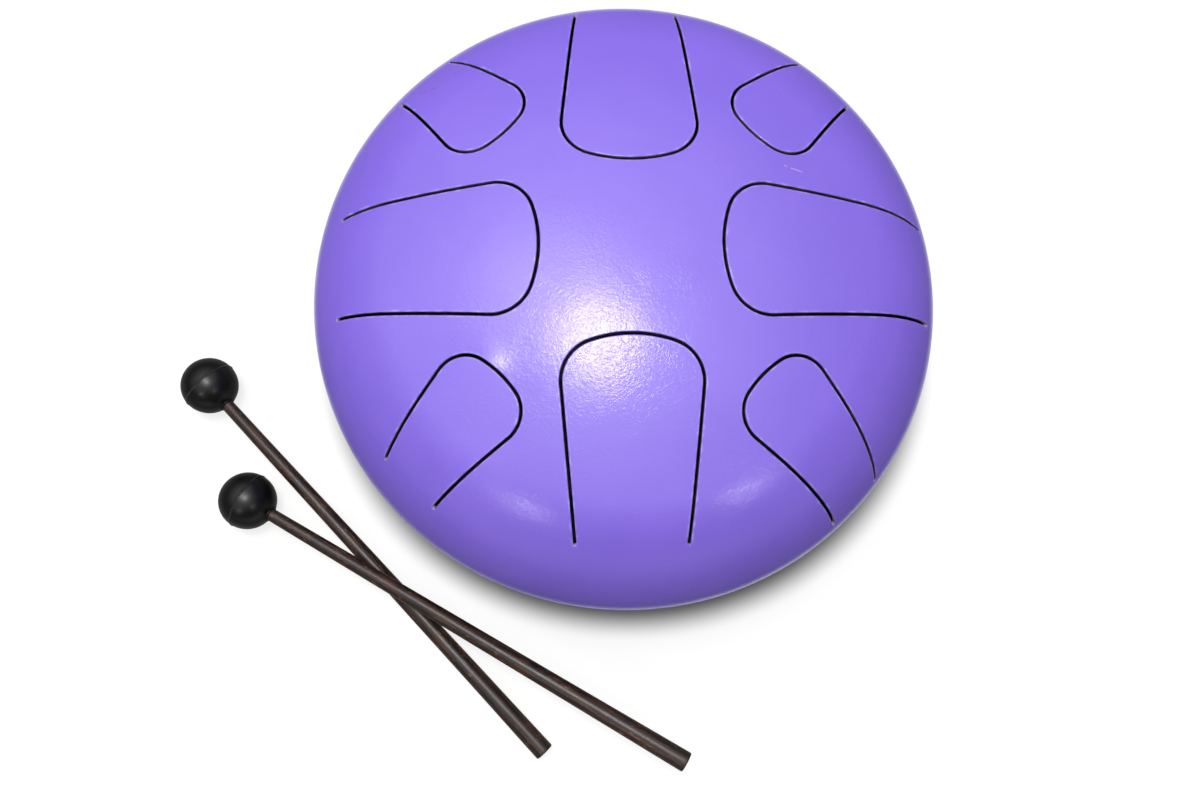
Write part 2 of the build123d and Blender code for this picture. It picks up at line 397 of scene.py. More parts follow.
def makePaint(settings):
    material, tree, shader, place = newMaterial("violetPaint", settings["shader"])

    def line(ends, width, waver):
        start, end = (metres(point) for point in ends)
        inputs = {"Vector": place, "Start": start, "End": end}
        return placed(tree, hairline, {**inputs, "Width": width * toMetres, "Waver": waver * toMetres})

    cloud = patches(tree, place, *settings["clouds"])
    colour = mixColour(tree, cloud, settings["deeper"], settings["colour"])
    # Pale violet on the slots' rounded edges: partly wear, partly a painted highlight where the edge catches
    # light.
    edge = attributeValue(tree, "slotEdge")
    paleWearAndSheen = placed(tree, edgeWearAndSheen, {"Vector": place, "Edge": edge, **settings["wearAndSheenSpread"]})
    colour = mixColour(tree, paleWearAndSheen, colour, settings["paleWearAndSheen"])
    cracks = 0.0
    for ends in settings["cracks"]:
        cracks = maths(tree, "MAXIMUM", cracks, line(ends, *settings["crackLine"]))
    cracks = maths(tree, "MULTIPLY", cracks, patches(tree, place, *settings["crackBreaks"]))
    colour = mixColour(tree, cracks, colour, settings["crackBrown"])
    for ends in settings["paleScratches"]:
        colour = mixColour(tree, line(ends, *settings["paleLine"]), colour, settings["pale"])

    grain = nodeIn(tree, "ShaderNodeTexWhiteNoise", {"Vector": place}).outputs["Value"]
    grain = rampUp(tree, grain, 0.0, 1.0, -settings["glossGrain"], settings["glossGrain"])
    rough = patches(tree, place, *settings["rough"])
    for low, high, amount in settings["glancing"]:
        rough = dulled(tree, rough, low, high, amount, grain)
    haze = dulled(tree, settings["haze"], *settings["hazeFade"], -settings["haze"])

    normal = peeled(tree, place, settings["peelGrain"], settings["peelHeight"])
    strokes = 0.0
    for turn in settings["strokeTurns"]:
        layer = placed(tree, fineStrokes, {"Vector": place, "Turn": turn, **settings["strokes"]})
        strokes = maths(tree, "ADD", strokes, layer)
    rubbed = patches(tree, place, *settings["rubbed"])
    normal = bumped(tree, maths(tree, "MULTIPLY", strokes, rubbed), settings["strokeHeight"], normal)
    marks = placed(tree, speckle, {"Vector": place, **settings["specks"]})
    nick = line(settings["nick"], *settings["nickLine"])
    for mask, depth in ((nick, settings["nickDepth"]), (cracks, settings["crackDepth"])):
        marks = maths(tree, "SUBTRACT", marks, maths(tree, "MULTIPLY", mask, depth))
    normal = bumped(tree, marks, settings["markHeight"], normal)
    feed(tree, shader, {"Base Color": colour, "Roughness": rough, "Coat Weight": haze, "Normal": normal})
    return material


# Cut edges and the inside of the bowls: dark primer, with bare tan steel at the slots' ends

cutFinish = {
    "shader": {"IOR": 1.45},
    "primer": rgb(0.060, 0.058, 0.050),
    "dusty": rgb(0.150, 0.142, 0.112),
    "bareSteel": rgb(0.520, 0.440, 0.310),
    "clouds": ((190.0, 4.0, 0.6), (0.4, 0.68)),
    "bareEnd": (0.35, 0.85),
    "barePatches": ((520.0, 2.0), (0.25, 0.5)),
    "rough": (0.45, 0.70),
    "grain": 900.0,
    "grainHeight": 0.00002,
}


def makeCutSteel(settings):
    material, tree, shader, place = newMaterial("cutSteel", settings["shader"])
    cloud = patches(tree, place, *settings["clouds"])
    colour = mixColour(tree, cloud, settings["primer"], settings["dusty"])
    slotEnd = rampUp(tree, attributeValue(tree, "slotEnd"), *settings["bareEnd"])
    bare = maths(tree, "MULTIPLY", slotEnd, patches(tree, place, *settings["barePatches"]))
    feed(tree, shader, {
        "Base Color": mixColour(tree, bare, colour, settings["bareSteel"]),
        "Roughness": rampUp(tree, cloud, 0.0, 1.0, *settings["rough"]),
        "Normal": peeled(tree, place, settings["grain"], settings["grainHeight"]),
    })
    return material


violetPaint = makePaint(paintFinish)
cutSteel = makeCutSteel(cutFinish)
print("paint and cut steel made")


# Bowls: a shallow crown that rolls over into a rounded rim

bowl = {
    "diameter": 254.0,
    "rise": 66.0,
    "crownRadius": 270.0,
    "wall": 1.6,
    "weldWidth": 3.0,
    "weldRootFace": 0.6,
    "equatorSegments": 360,
    "meshStep": 3.0,
    "edgeShare": 0.55,  # how near the mesh's inner points come to an edge, as a share of the step
    "edgeRound": 0.34,
    # Marks in the top bowl, first a lip turned up beside a slot, then a dent: plan place, radius and depth.
    "dents": (
        ((-52.1, -44.0), 7.2, -1.00),
        ((42.0, -88.5), 4.0, 0.10),
    ),
    "dentFade": 1.6,
}
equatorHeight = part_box("top_shell")[0].z / toMetres
drumRadius = bowl["diameter"] / 2
crownRadius = bowl["crownRadius"]
crownCentre = bowl["rise"] - crownRadius
rimRadius = (crownRadius ** 2 - crownCentre ** 2 - drumRadius ** 2) / (2 * (crownRadius - drumRadius))
rimCentre = drumRadius - rimRadius
meetAngle = math.atan2(rimCentre, -crownCentre)  # from the axis, where crown and rim meet
meetReach = crownRadius * meetAngle  # the same place along the sheet from the pole
meetRadius = crownRadius * math.sin(meetAngle)


def sheetReach(radius):
    # Distance along the sheet from the pole to a plan radius.
    onCrown = crownRadius * np.arcsin(np.clip(radius / crownRadius, 0, 1))
    onRim = meetReach + rimRadius * (np.arcsin(np.clip((radius - rimCentre) / rimRadius, -1, 1)) - meetAngle)
    return np.where(radius < meetRadius, onCrown, onRim)


def sheetAngle(reach):
    # Slope of the bowl at a distance along the sheet.
    return np.where(reach < meetReach, reach / crownRadius, meetAngle + (reach - meetReach) / rimRadius)


def planRadius(reach):
    angle = sheetAngle(reach)
    return np.where(reach < meetReach, crownRadius * np.sin(angle), rimCentre + rimRadius * np.sin(angle))


def bowlHeight(radius):
    onCrown = crownCentre + np.sqrt(np.maximum(crownRadius ** 2 - radius ** 2, 0))
    onRim = np.sqrt(np.maximum(rimRadius ** 2 - (radius - rimCentre) ** 2, 0))
    return np.where(radius < meetRadius, onCrown, onRim)


def lengths(plan):
    return np.maximum(np.hypot(plan[:, 0], plan[:, 1]), tiny)


def unrolled(plan):
    radius = lengths(plan)
    return plan * (sheetReach(radius) / radius)[:, None]


def rolledUp(flat):
    reach = lengths(flat)
    return flat * (planRadius(reach) / reach)[:, None]


def inPolygon(points, polygon):
    inside = np.zeros(len(points), bool)
    x, y = points[:, 0], points[:, 1]
    for (x0, y0), (x1, y1) in zip(polygon, np.roll(polygon, -1, axis=0)):
        if y0 != y1:
            crosses = (y0 > y) != (y1 > y)
            inside ^= crosses & (x < (x1 - x0) * (y - y0) / (y1 - y0) + x0)
    return inside


def inSheet(points, polygons):
    # Inside the first polygon and outside the others.
    inside = inPolygon(points, polygons[0])
    for hole in polygons[1:]:
        inside &= ~inPolygon(points, hole)
    return inside


# Edges of a sheet: rows down the edge as inset and depth, and the strips between the rows, each with its
# normal's outward and upward shares above and below, and whether it is bare

def roundedRows(radius, wall):
    rows, leans = [], []
    quarter = [math.radians(a) for a in (0, 30, 60, 90)]
    for angles, side in ((quarter, 1), (quarter[::-1], -1)):
        for a in angles:
            drop = radius * (1 - math.cos(a))
            rows.append((radius * (1 - math.sin(a)), drop if side > 0 else wall - drop))
            leans.append((math.sin(a), side * math.cos(a)))
    painted = len(quarter) - 1
    return rows, [(leans[k], leans[k + 1], k >= painted) for k in range(len(rows) - 1)]


def weldRows():
    # The equator's edge, chamfered for the weld.
    toe = rimCentre + math.sqrt(rimRadius ** 2 - (bowl["weldWidth"] / 2) ** 2)
    depth = bowl["wall"] - bowl["weldRootFace"]
    slant = tuple(Vector((depth, bowl["weldWidth"] / 2)).normalized())
    square = (1.0, 0.0)
    rows = [(drumRadius - toe, 0.0), (0.0, depth), (0.0, bowl["wall"])]
    return rows, [(slant, slant, True), (square, square, True)]


def ringLoop(centre, radius, count, hole, rows, strips):
    # A round edge. The sheet lies on the left of its direction.
    turn = -1 if hole else 1
    angles = turn * np.arange(count) * 2 * math.pi / count
    spoke = np.stack([np.cos(angles), np.sin(angles)], 1)
    return {"edge": np.array(centre) + spoke * radius, "out": spoke * turn, "rows": rows, "strips": strips,
            "chordStep": None, "slotEnd": 0.0, "slotEdge": 1.0 if hole else 0.0}


def dentDepth(plan, dents):
    # Height and plan slope of the dents.
    height = np.zeros(len(plan))
    slope = np.zeros((len(plan), 2))
    for place, radius, depth in dents:
        offset = plan - np.array(place)
        spread = (radius / bowl["dentFade"]) ** 2
        well = -depth * np.exp(-(offset ** 2).sum(1) / (2 * spread))
        height += well
        slope -= offset * (well / spread)[:, None]
    return height, slope


def latticePoints(polygons):
    # Evenly spread points inside the sheet, clear of every edge.
    step = bowl["meshStep"]
    edges = np.concatenate(polygons)
    tree = kdtree.KDTree(len(edges))
    for index, (x, y) in enumerate(edges):
        tree.insert((x, y, 0.0), index)
    tree.balance()
    low, high = polygons[0].min(0), polygons[0].max(0)
    rowStep = step * math.sqrt(3) / 2
    points = []
    for row in range(math.ceil(low[1] / rowStep), math.floor(high[1] / rowStep) + 1):
        shift = step / 2 if row % 2 else 0.0
        first, last = math.ceil((low[0] - shift) / step), math.floor((high[0] - shift) / step)
        points += [(column * step + shift, row * rowStep) for column in range(first, last + 1)]
    points = np.array(points)
    points = points[inSheet(points, polygons)]
    return points[[tree.find((x, y, 0.0))[2] > bowl["edgeShare"] * step for x, y in points]]


def localShares(plan, direction):
    # A plan direction as shares along the meridian and round the axis.
    radius = lengths(plan)
    spoke = plan / radius[:, None]
    meridian = (direction * spoke).sum(1) * np.cos(sheetAngle(sheetReach(radius)))
    around = direction[:, 1] * spoke[:, 0] - direction[:, 0] * spoke[:, 1]
    return np.stack([meridian, around], 1)


def localOut(plan, out):
    shares = localShares(plan, out)
    return shares / lengths(shares)[:, None]


# Flat closed sheets with the edges that the loops give, unrolled from the bowl

def addPoints(sheet, points, deep, slotEdge=0.0, slotEnd=0.0):
    total = len(points)
    sheet["plan"].append(points)
    for label, value in (("depth", deep), ("slotEdge", slotEdge), ("slotEnd", slotEnd)):
        sheet[label].append(np.broadcast_to(value, total))
    sheet["count"] += total
    return np.arange(sheet["count"] - total, sheet["count"])


def addPair(sheet, points):
    # The same points on the upper and the lower side.
    upper = addPoints(sheet, points, 0.0)
    lower = addPoints(sheet, points, bowl["wall"])
    sheet["under"].update(zip(upper, lower))
    return upper, lower


def addFace(sheet, corners, normals, bare):
    sheet["faces"].append([int(v) for v in corners])
    sheet["normals"].append(np.array(normals))
    sheet["bare"].append(bare)


def layEdge(sheet, loop):
    # Points of an edge, row by row, with a chord across its open end. Gives the border of the upper side.
    loop["index"] = [
        addPoints(sheet, loop["edge"] - loop["out"] * inset, deep, loop["slotEdge"], loop["slotEnd"])
        for inset, deep in loop["rows"]
    ]
    top, low = loop["index"][0], loop["index"][-1]
    sheet["under"].update(zip(top, low))
    border = list(top)
    if loop["chordStep"]:
        inset = loop["rows"][0][0]
        start, end = (loop["edge"] - loop["out"] * inset)[[-1, 0]]
        span = end - start
        length = np.linalg.norm(span)
        pieces = max(2, round(length / loop["chordStep"]))
        upper, lower = addPair(sheet, start + span * (np.arange(1, pieces)[:, None] / pieces))
        border += list(upper)
        loop["chord"] = [top[-1], *upper, top[0]], [low[-1], *lower, low[0]]
        loop["chordOut"] = np.array((span[1], -span[0])) / length
    return border


def fillSheet(sheet, borders):
    # Triangles over the upper side, between its borders.
    flat = unrolled(np.concatenate(sheet["plan"]))
    polygons = [flat[border] for border in borders]
    upper = addPair(sheet, rolledUp(latticePoints(polygons)))[0]
    flat = unrolled(np.concatenate(sheet["plan"]))
    side = np.concatenate([*map(np.array, borders), upper])
    order = {vertex: place for place, vertex in enumerate(side)}
    fixed = [(order[a], order[b]) for border in borders for a, b in zip(border, border[1:] + border[:1])]
    cut = delaunay_2d_cdt([Vector(p) for p in flat[side]], fixed, [], 0, 1e-6)
    source = [ids[0] for ids in cut[3]]
    triangles = side[np.array([[source[v] for v in face] for face in cut[2]])]
    return triangles[inSheet(flat[triangles].mean(1), polygons)]


def closeEdge(sheet, loop, plan):
    # Faces down an edge, and down the chord across its open end.
    rows, total = loop["index"], len(loop["edge"])
    sideways = localOut(loop["edge"], loop["out"])
    for k, (above, below, bare) in enumerate(loop["strips"]):
        for i in range(total - 1 if loop["chordStep"] else total):
            j = (i + 1) % total
            corners = (rows[k][i], rows[k + 1][i], rows[k + 1][j], rows[k][j])
            leans = ((i, above), (i, below), (j, below), (j, above))
            addFace(sheet, corners, [(*sideways[at] * lean[0], lean[1]) for at, lean in leans], bare)
    if loop["chordStep"]:
        top, low = loop["chord"]
        flush = [(*out, 0.0) for out in localOut(plan[top], np.tile(loop["chordOut"], (len(top), 1)))]
        for i in range(len(top) - 1):
            corners = (top[i], low[i], low[i + 1], top[i + 1])
            addFace(sheet, corners, (flush[i], flush[i], flush[i + 1], flush[i + 1]), True)
        addFace(sheet, [row[-1] for row in rows], [flush[0]] * len(rows), True)
        addFace(sheet, [row[0] for row in reversed(rows)], [flush[-1]] * len(rows), True)


def sheetBlank(name, loops, dents):
    # The outer loop comes first.
    sheet = {key: [] for key in ("plan", "depth", "slotEdge", "slotEnd", "faces", "normals", "bare")}
    sheet.update(count=0, under={})
    borders = [layEdge(sheet, loop) for loop in loops]
    triangles = fillSheet(sheet, borders)
    plan = np.concatenate(sheet["plan"])
    dent, slope = dentDepth(plan, dents)
    faceUp = np.column_stack([-localShares(plan, slope), np.ones(len(plan))])
    faceUp /= np.linalg.norm(faceUp, axis=1)[:, None]
    for corners in triangles:
        addFace(sheet, corners, faceUp[corners], False)
    for a, b, c in triangles:
        addFace(sheet, [sheet["under"][v] for v in (a, c, b)], -faceUp[[a, c, b]], True)
    for loop in loops:
        closeEdge(sheet, loop, plan)
    flat = unrolled(plan)
    heights = dent - np.concatenate(sheet["depth"])
    mesh = newMesh(name + "Blank", np.column_stack([flat, heights]).tolist(), sheet["faces"])
    for label in ("slotEdge", "slotEnd"):
        setAttribute(mesh, label, "FLOAT", np.concatenate(sheet[label]).astype(np.float32))
    setAttribute(mesh, "cutFace", "BOOLEAN", sheet["bare"], "FACE")
    return newObject(name, mesh), flat, np.concatenate(sheet["normals"])


def pressTree():
    # Presses a flat sheet into the bowl: along the sheet becomes the meridian, height stays square to it.
    tree, given, gives = newTree(
        "pressBowl", "GeometryNodeTree",
        ("Sheet", "Crown Radius", "Crown Centre", "Rim Radius", "Rim Centre", "Meet Angle", "Equator Height",
         "Turned Over", "Finish", "Cut Finish"),
        ("Bowl",),
    )
    place = meshPlace(tree)
    flat = vectorFrom(tree, place[0], place[1])
    reach = vectorMaths(tree, "LENGTH", flat)
    meet = maths(tree, "MULTIPLY", given["Crown Radius"], given["Meet Angle"])
    onRim = firstOut(tree, "FunctionNodeCompare", (reach, meet), operation="GREATER_THAN")

    def pick(crown, rim):
        return firstOut(tree, "GeometryNodeSwitch", (onRim, crown, rim), input_type="FLOAT")

    pastMeet = maths(tree, "DIVIDE", maths(tree, "SUBTRACT", reach, meet), given["Rim Radius"])
    onCrown = maths(tree, "DIVIDE", reach, given["Crown Radius"])
    angle = pick(onCrown, maths(tree, "ADD", given["Meet Angle"], pastMeet))
    arc = maths(tree, "ADD", pick(given["Crown Radius"], given["Rim Radius"]), place[2])
    outward = maths(tree, "MULTIPLY_ADD", arc, maths(tree, "SINE", angle), pick(0.0, given["Rim Centre"]))
    upward = maths(tree, "MULTIPLY_ADD", arc, maths(tree, "COSINE", angle), pick(given["Crown Centre"], 0.0))
    side = maths(tree, "MULTIPLY_ADD", given["Turned Over"], -2.0, 1.0)
    pressed = axesOf(tree, scaled(tree, vectorMaths(tree, "NORMALIZE", flat), outward))
    height = maths(tree, "MULTIPLY_ADD", upward, side, given["Equator Height"])
    whole = vectorFrom(tree, pressed[0], maths(tree, "MULTIPLY", pressed[1], side), height)
    painted = realized(tree, movedTo(tree, given["Sheet"], whole), given["Finish"])
    both = firstOut(tree, "GeometryNodeSetMaterial", {
        "Geometry": painted,
        "Selection": storedValue(tree, "cutFace", "BOOLEAN"),
        "Material": given["Cut Finish"],
    })
    tree.links.new(both, gives["Bowl"])
    return tree


pressBowl = pressTree()


def pressSheet(name, loops, dents=(), turnedOver=False):
    obj, flat, local = sheetBlank(name, loops, dents)
    mesh = plainMesh(obj, pressBowl, {
        "Crown Radius": crownRadius, "Crown Centre": crownCentre,
        "Rim Radius": rimRadius, "Rim Centre": rimCentre, "Meet Angle": meetAngle,
        "Equator Height": equatorHeight, "Turned Over": turnedOver,
        "Finish": violetPaint, "Cut Finish": cutSteel,
    })
    # The sheet's own normals, turned with it, so that the long smooth faces shade without facets.
    corners = np.zeros(len(mesh.loops), np.int32)
    mesh.loops.foreach_get("vertex_index", corners)
    reach = np.hypot(flat[:, 0], flat[:, 1])
    spoke = flat / np.maximum(reach, tiny)[:, None]
    spoke[reach < tiny] = (1.0, 0.0)
    sine, cosine = np.sin(sheetAngle(reach)), np.cos(sheetAngle(reach))
    meridian = np.stack([spoke[:, 0] * cosine, spoke[:, 1] * cosine, -sine], 1)
    around = np.stack([-spoke[:, 1], spoke[:, 0], np.zeros(len(flat))], 1)
    outward = np.stack([spoke[:, 0] * sine, spoke[:, 1] * sine, cosine], 1)
    turned = sum(local[:, [axis]] * basis[corners] for axis, basis in enumerate((meridian, around, outward)))
    if turnedOver:
        turned *= np.array((1.0, -1.0, -1.0))
    mesh.shade_smooth()
    mesh.normals_split_custom_set(turned.tolist())
    return obj


# Tongues: outlines in plan, along each tongue's own axis from the drum's axis outwards

tongues = {
    "slotWidth": 1.2,
    "rootGap": 0.03,  # hairline that lets a root turn
    "sideStep": 1.6,
    "cornerStep": 0.9,
    "endSegments": 8,
    "chordStep": 2.0,
    "endReach": 3.0,  # how far the bare metal runs from a slot's end
    "long": {"tip": 34.4, "width": 51.9, "bulge": 7.6, "corner": 14.3, "taper": 5.25,
             "lands": (10.3, 16.5, 16.7, 21.1), "first": 0.0},
    "short": {"tip": 67.5, "width": 37.3, "bulge": 4.15, "corner": 11.2, "taper": 7.9,
              "lands": (13.4, 12.8, 11.3, 3.8), "first": 45.0},
}


def arcPoints(centre, radius, start, end, step):
    count = max(3, math.ceil(abs(end - start) * radius / step))
    angles = np.linspace(start, end, count + 1)
    spoke = np.stack([np.cos(angles), np.sin(angles)], 1)
    return centre + spoke * radius, spoke


def tongueOutline(shape, root):
    # Edge points and outward directions from the root round the tip and back to the root.
    taper = math.radians(shape["taper"])
    half = shape["width"] / 2
    corner = shape["corner"]
    shoulder = np.array((shape["tip"] + shape["bulge"], half))
    tipRadius = (half ** 2 + shape["bulge"] ** 2) / (2 * shape["bulge"])
    tipCentre = np.array((shape["tip"] + tipRadius, 0.0))
    sideOut = np.array((math.sin(taper), math.cos(taper)))
    sideAlong = np.array((math.cos(taper), -math.sin(taper)))
    rise = sideOut @ (shoulder - tipCentre) - corner
    cornerCentre = tipCentre + sideOut * rise - sideAlong * math.sqrt((tipRadius - corner) ** 2 - rise ** 2)
    sideStart = shoulder + sideAlong * ((root - shoulder[0]) / math.cos(taper))
    sideEnd = cornerCentre + sideOut * corner
    steps = math.ceil(np.linalg.norm(sideEnd - sideStart) / tongues["sideStep"])
    shares = np.linspace(0, 1, steps + 1)[:-1, None]
    side = sideStart + (sideEnd - sideStart) * shares
    toTip = cornerCentre - tipCentre
    turn = math.atan2(toTip[1], toTip[0])
    bend, bendOut = arcPoints(cornerCentre, corner, math.pi / 2 - taper, turn, tongues["cornerStep"])
    nose, noseOut = arcPoints(tipCentre, tipRadius, turn, math.pi, tongues["sideStep"])
    edge = np.concatenate([side, bend[:-1], nose])
    out = np.concatenate([np.tile(sideOut, (len(side), 1)), bendOut[:-1], noseOut])
    out[-1] = (-1.0, 0.0)
    flip = np.array((1.0, -1.0))
    return np.concatenate([edge, edge[-2::-1] * flip]), np.concatenate([out, out[-2::-1] * flip])


def turnedPlan(points, degrees):
    a = math.radians(degrees)
    return points @ np.array(((math.cos(a), math.sin(a)), (-math.sin(a), math.cos(a))))


def endMask(edge):
    # One at both ends of a slot, falling to nothing over the reach of the bare metal.
    run = np.concatenate([[0.0], np.cumsum(np.linalg.norm(np.diff(edge, axis=0), axis=1))])
    return np.clip(1 - np.minimum(run, run[-1] - run) / tongues["endReach"], 0, 1)


def tongueLoops(shape, root, degrees):
    # The tongue's own edge, and the edge of its window in the bowl with round slot ends.
    rows, strips = roundedRows(bowl["edgeRound"], bowl["wall"])

    def turnedLoop(edge, out):
        return {"edge": turnedPlan(edge, degrees), "out": turnedPlan(out, degrees), "rows": rows,
                "strips": strips, "chordStep": tongues["chordStep"], "slotEnd": endMask(edge), "slotEdge": 1.0}

    edge, out = tongueOutline(shape, root)
    ownEdge = edge.copy()
    ownEdge[[0, -1], 0] -= tongues["rootGap"]
    width = tongues["slotWidth"]
    turns = np.linspace(0, math.pi, tongues["endSegments"] + 1)[:-1, None]
    ends, endOuts = [], []
    for corner, normal, sign in ((edge[0], out[0], 1.0), (edge[-1], out[-1], -1.0)):
        along = np.array((normal[1], -normal[0])) * sign
        spoke = normal * np.cos(turns) - along * np.sin(turns)
        ends.append(corner + (normal - spoke) * width / 2)
        endOuts.append(spoke)
    windowEdge = np.concatenate([ends[0], edge + out * width, ends[1][::-1]])[::-1]
    windowOut = np.concatenate([endOuts[0], -out, endOuts[1][::-1]])[::-1]
    return turnedLoop(ownEdge, out), turnedLoop(windowEdge, windowOut)


windows = []
for index in range(len(tongues["long"]["lands"])):
    for kind in ("long", "short"):
        shape = tongues[kind]
        root = drumRadius - shape["lands"][index]
        tongueLoop, windowLoop = tongueLoops(shape, root, shape["first"] + 90.0 * index)
        windows.append(windowLoop)
        node = f"{kind}_tongue_{index + 1}"
        finishPiece(pressSheet(f"{kind}Tongue{index + 1}", [tongueLoop]), node, "shell_paint", node)
print("eight tongues pressed")

equator = ringLoop((0.0, 0.0), drumRadius, bowl["equatorSegments"], False, *weldRows())
topShell = pressSheet("topShell", [equator, *windows], bowl["dents"])
finishPiece(topShell, "drum", "shell_paint", "top_shell")
print("top bowl pressed,", len(topShell.data.polygons), "faces")


# Bottom bowl with the sound port and the feet's screw holes

bottom = {
    "portDiameter": 64.0,
    "portRound": 0.5,
    "portSegments": 128,
    "footCircle": 62.0,
    "footCount": 4,
    "footStart": 45.0,
    "screwHole": 4.2,
    "holeSegments": 24,
}


def bottomLoops(settings):
    portRows = roundedRows(settings["portRound"], bowl["wall"])
    holeRows = roundedRows(bowl["edgeRound"], bowl["wall"])
    loops = [ringLoop((0.0, 0.0), settings["portDiameter"] / 2, settings["portSegments"], True, *portRows)]
    for k in range(settings["footCount"]):
        angle = math.radians(settings["footStart"] + 360 / settings["footCount"] * k)
        centre = (settings["footCircle"] * math.cos(angle), settings["footCircle"] * math.sin(angle))
        loops.append(ringLoop(centre, settings["screwHole"] / 2, settings["holeSegments"], True, *holeRows))
    return loops


bottomShell = pressSheet("bottomShell", [equator, *bottomLoops(bottom)], turnedOver=True)
finishPiece(bottomShell, "drum", "shell_paint", "bottom_shell")
print("bottom bowl pressed,", len(bottomShell.data.polygons), "faces")


# Turned pieces

sharpAngle = 40.0  # edges that bend more stay sharp


def turnedMesh(name, profile, segments, closed=False):
    # Revolves (radius, height) points about Z. The profile runs upwards on the outside.
    angles = np.arange(segments) * 2 * math.pi / segments
    vertices, rings = [], []
    for radius, height in profile:
        first = len(vertices)
        if radius < 1e-6:
            vertices.append((0.0, 0.0, height))
            rings.append([first] * segments)
        else:
            vertices += [(radius * math.cos(a), radius * math.sin(a), height) for a in angles]
            rings.append(list(range(first, first + segments)))
    faces = []
    for lower, upper in list(zip(rings, rings[1:])) + ([(rings[-1], rings[0])] if closed else []):
        for i in range(segments):
            j = (i + 1) % segments
            faces.append(list(dict.fromkeys((lower[i], lower[j], upper[j], upper[i]))))
    mesh = newMesh(name, vertices, faces)
    mesh.shade_smooth()
    mesh.set_sharp_from_angle(angle=math.radians(sharpAngle))
    return mesh


def roundedCorner(corner, before, after, radius, steps=4):
    # Points of an arc that rounds a profile's corner.
    corner, before, after = Vector(corner), Vector(before), Vector(after)
    toBefore, toAfter = (before - corner).normalized(), (after - corner).normalized()
    half = toBefore.angle(toAfter) / 2
    reach = radius / math.tan(half)
    centre = corner + (toBefore + toAfter).normalized() * (radius / math.sin(half))
    start = corner + toBefore * reach - centre
    end = corner + toAfter * reach - centre
    turn = start.angle_signed(end)
    points = []
    for k in range(steps + 1):
        a = -turn * k / steps
        points.append((centre.x + start.x * math.cos(a) - start.y * math.sin(a),
                       centre.y + start.x * math.sin(a) + start.y * math.cos(a)))
    return points


# Weld bead round the equator, ground almost flush and painted over

weld = {"crown": 0.10, "uneven": 0.16, "grain": 0.11, "bumpSteps": 14, "sharpAngle": 35.0}


def wrapTree():
    # Wraps a straight bead round the drum: X runs round the ring, Y upwards, Z is the proud height.
    tree, given, gives = newTree(
        "wrapRound", "GeometryNodeTree",
        ("Bead", "Ring Radius", "Height", "Uneven", "Grain", "Finish"), ("Ring",),
    )
    place = meshPlace(tree)
    spoke = spokeAt(tree, maths(tree, "DIVIDE", place[0], given["Ring Radius"]))
    lumps = noise(tree, scaled(tree, spoke, given["Ring Radius"]), given["Grain"], 2.0)
    change = maths(tree, "MULTIPLY", maths(tree, "SUBTRACT", lumps, 0.5), given["Uneven"])
    outward = maths(tree, "ADD", given["Ring Radius"], place[2])
    outward = maths(tree, "MULTIPLY_ADD", storedValue(tree, "proud", "FLOAT"), change, outward)
    flat = axesOf(tree, scaled(tree, spoke, outward))
    whole = vectorFrom(tree, flat[0], flat[1], maths(tree, "ADD", place[1], given["Height"]))
    moved = movedTo(tree, given["Bead"], whole)
    merged = firstOut(tree, "GeometryNodeMergeByDistance", {"Geometry": moved, "Distance": 0.000001})
    tree.links.new(realized(tree, merged, given["Finish"]), gives["Ring"])
    return tree


def makeWeld(settings):
    toe = bowl["weldWidth"] / 2
    heights = np.linspace(-toe, toe, settings["bumpSteps"] + 1)
    swell = settings["crown"] * (1 + np.cos(math.pi * heights / toe)) / 2
    bare = rimCentre + np.sqrt(rimRadius ** 2 - heights ** 2) - drumRadius
    section = [(h, b + w, w) for h, b, w in zip(heights, bare, swell)]
    section.append((0.0, bowl["weldRootFace"] - bowl["wall"], 0.0))
    count, segments = len(section), bowl["equatorSegments"]
    length = 2 * math.pi * drumRadius
    vertices = [(length * i / segments, h, z) for i in range(segments + 1) for h, z, w in section]
    faces = []
    for first in range(0, segments * count, count):
        for k in range(count):
            following = (k + 1) % count
            faces.append((first + k, first + count + k, first + count + following, first + following))
    mesh = newMesh("equatorWeldBead", vertices, faces)
    setAttribute(mesh, "proud", "FLOAT", [w for h, z, w in section] * (segments + 1))
    obj = newObject("equatorWeld", mesh)
    ring = plainMesh(obj, wrapTree(), {
        "Ring Radius": drumRadius, "Height": equatorHeight, "Uneven": settings["uneven"],
        "Grain": settings["grain"], "Finish": violetPaint,
    })
    ring.shade_smooth()
    ring.set_sharp_from_angle(angle=math.radians(settings["sharpAngle"]))
    finishPiece(obj, "drum", "shell_paint", "equator_weld")


makeWeld(weld)
print("weld bead wrapped")


# Rubber, zinc and wood finishes

rubberFinish = {
    "foot": {"colour": rgb(0.022, 0.022, 0.024), "dust": rgb(0.110, 0.108, 0.104),
             "rough": ((90.0, 3.0), (0.3, 0.7), (0.62, 0.78)), "grain": 1500.0, "height": 0.00003,
             "cover": 0.10, "shine": 0.40, "coat": 0.0},
    "ball": {"colour": rgb(0.0020, 0.0020, 0.0022), "dust": rgb(0.020, 0.020, 0.020),
             "rough": ((90.0, 3.0), (0.3, 0.7), (0.50, 0.60)), "grain": 1900.0, "height": 0.000010,
             "cover": 0.05, "shine": 0.06, "coat": 0.72},
    # A lighter line on the ball's mould seam: partly rubbed flash, partly a painted highlight where the ridge
    # catches light.
    "seam": rgb(0.0300, 0.0265, 0.0260),
    "seamRubbedAndSheen": ((260.0, 3.0), (0.3, 0.6), (0.35, 1.0)),
    "speckGrain": 480.0,
    "speckShare": 0.5,
    "film": ((130.0, 4.0, 0.6), (0.5, 0.8), (0.0, 0.22)),
    "coatRoughness": 0.34,
    "coatFade": (0.08, 0.42, -0.92),  # towards a glancing angle, the last as a share of the coat
}


